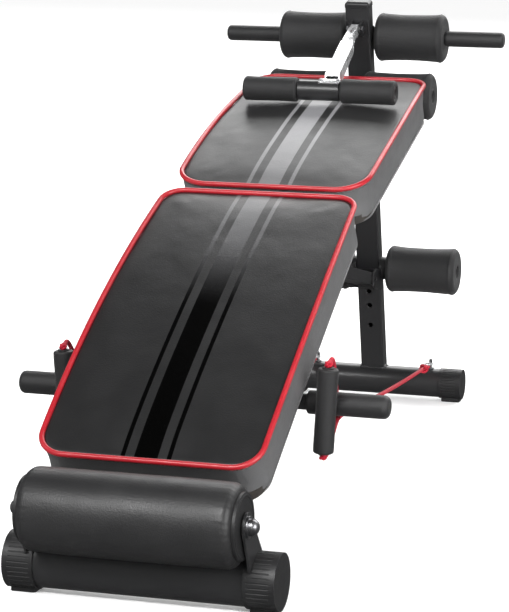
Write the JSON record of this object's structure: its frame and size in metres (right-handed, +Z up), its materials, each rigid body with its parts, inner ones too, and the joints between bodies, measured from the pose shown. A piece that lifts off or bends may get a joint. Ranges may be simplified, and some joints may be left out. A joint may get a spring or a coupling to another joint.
{
  "type": "decline sit-up bench",
  "caption": "Folding decline sit-up bench with arched back pad, seat pad, foam leg rollers, padded knee bar, bolster roller, push-up bar and elastic pull handles.",
  "frame": {"origin": "middle of the footprint, on the floor", "axes": "+X to the right of a person looking from the low bolster end, +Y towards the high end with the upright, +Z up"},
  "size_m": [0.531, 1.3162, 0.692],
  "materials": {
    "powder_coat": "satin black powder coat",
    "black_plastic": "moulded black plastic",
    "pad_vinyl": "fine-grained black vinyl",
    "bolster_vinyl": "smooth black vinyl",
    "piping": "red vinyl piping",
    "plywood": "black-stained plywood",
    "foam": "closed-cell foam sleeve",
    "grip_foam": "foam grip",
    "chrome": "bright plated steel",
    "zinc": "zinc plated",
    "cord": "red elastic cord"
  },
  "bodies": {
    "frame": {"front_crossbar": "powder_coat", "front_end_caps": "black_plastic", "front_leg": "powder_coat", "main_beam": "powder_coat", "seat_beam": "powder_coat", "beam_joint_plates": "powder_coat", "frame_bolts": "zinc", "pad_brackets": "powder_coat", "back_board": "plywood", "back_pad": "pad_vinyl", "back_piping": "piping", "seat_board": "plywood", "seat_pad": "pad_vinyl", "seat_piping": "piping", "push_up_bar": "powder_coat", "push_up_grips": "grip_foam", "bolster_brackets": "powder_coat", "bolster_axle": "zinc", "bolster_axle_nuts": "zinc", "seat_roller_bracket": "powder_coat", "seat_roller_bar": "powder_coat", "strut_lug": "powder_coat", "hinge_ears": "powder_coat", "hinge_bolts": "zinc", "cord_left": "cord", "cord_right": "cord"},
    "upright": {"upright_tube": "powder_coat", "upright_cap": "black_plastic", "rear_crossbar": "powder_coat", "rear_end_caps": "black_plastic", "t_bar": "powder_coat", "t_bar_saddle": "powder_coat", "t_bar_grips": "grip_foam", "foot_bar": "powder_coat", "foot_collars": "black_plastic", "cord_eyes": "zinc", "carabiners": "chrome", "strut_bracket": "powder_coat", "knee_arm_ears": "powder_coat", "knee_pivot_bolt": "zinc"},
    "strut": {"strut_tube": "powder_coat"},
    "lock": {"lock_pin": "zinc", "lock_knob": "black_plastic"},
    "knee_arm": {"knee_arm": "chrome", "knee_bar": "powder_coat", "knee_arm_bolts": "zinc"},
    "bolster": {"bolster_core": "black_plastic", "bolster_cover": "bolster_vinyl"},
    "t_roller_left": {"t_roller_left": "foam"},
    "t_roller_right": {"t_roller_right": "foam"},
    "foot_roller_left": {"foot_roller_left": "foam"},
    "foot_roller_right": {"foot_roller_right": "foam"},
    "seat_roller_left": {"seat_roller_left": "foam"},
    "seat_roller_right": {"seat_roller_right": "foam"},
    "knee_roller_left": {"knee_roller_left": "foam"},
    "knee_roller_right": {"knee_roller_right": "foam"},
    "handle_left": {"handle_grip_left": "grip_foam", "handle_cord_left": "cord"},
    "handle_right": {"handle_grip_right": "grip_foam", "handle_cord_right": "cord"}
  },
  "joints": [
    {"name": "upright_fold", "type": "hinge", "parent": "frame", "child": "upright", "pos_m": [0, 0.5514, 0.47], "axis": [-1, 0, 0], "range_deg": [0, 70], "stiffness_Nm_per_rad": 60, "springref_deg": -20.05, "deforming": ["cord_left", "cord_right"]},
    {"name": "strut_fold", "type": "hinge", "parent": "frame", "child": "strut", "pos_m": [0, 0.0414, 0.347], "axis": [-1, 0, 0], "range_deg": [0, 132.5]},
    {"name": "lock_pin_pull", "type": "slide", "parent": "upright", "child": "lock", "axis": [-1, 0, 0], "range_m": [0, 0.012], "stiffness_N_per_m": 600, "springref_m": -0.008},
    {"name": "knee_arm_lift", "type": "hinge", "parent": "upright", "child": "knee_arm", "pos_m": [0, 0.4884, 0.645], "axis": [-1, 0, 0], "range_deg": [0, 50]},
    {"name": "bolster_spin", "type": "hinge", "parent": "frame", "child": "bolster", "pos_m": [0, -0.6016, 0.1226], "axis": [1, 0, 0], "continuous": true},
    {"name": "t_roller_left_spin", "type": "hinge", "parent": "upright", "child": "t_roller_left", "pos_m": [0, 0.5474, 0.628], "axis": [1, 0, 0], "continuous": true},
    {"name": "t_roller_right_spin", "type": "hinge", "parent": "upright", "child": "t_roller_right", "pos_m": [0, 0.5474, 0.628], "axis": [1, 0, 0], "continuous": true},
    {"name": "foot_roller_left_spin", "type": "hinge", "parent": "upright", "child": "foot_roller_left", "pos_m": [0, 0.5989, 0.2308], "axis": [1, 0, 0], "continuous": true},
    {"name": "foot_roller_right_spin", "type": "hinge", "parent": "upright", "child": "foot_roller_right", "pos_m": [0, 0.5989, 0.2308], "axis": [1, 0, 0], "continuous": true},
    {"name": "seat_roller_left_spin", "type": "hinge", "parent": "frame", "child": "seat_roller_left", "pos_m": [0, 0.4704, 0.5415], "axis": [1, 0, 0], "continuous": true},
    {"name": "seat_roller_right_spin", "type": "hinge", "parent": "frame", "child": "seat_roller_right", "pos_m": [0, 0.4704, 0.5415], "axis": [1, 0, 0], "continuous": true},
    {"name": "knee_roller_left_spin", "type": "hinge", "parent": "knee_arm", "child": "knee_roller_left", "pos_m": [0, 0.2754, 0.5694], "axis": [1, 0, 0], "continuous": true},
    {"name": "knee_roller_right_spin", "type": "hinge", "parent": "knee_arm", "child": "knee_roller_right", "pos_m": [0, 0.2754, 0.5694], "axis": [1, 0, 0], "continuous": true},
    {"name": "handle_left_pull", "type": "slide", "parent": "frame", "child": "handle_left", "axis": [-1, 0, 0], "range_m": [0, 0.12], "stiffness_N_per_m": 120, "springref_m": -0.01, "deforming": ["cord_left"]},
    {"name": "handle_right_pull", "type": "slide", "parent": "frame", "child": "handle_right", "axis": [1, 0, 0], "range_m": [0, 0.12], "stiffness_N_per_m": 120, "springref_m": -0.01, "deforming": ["cord_right"]}
  ],
  "couplings": [
    {"joint": "strut_fold", "follows": "upright_fold", "ratio": 1.8857}
  ]
}
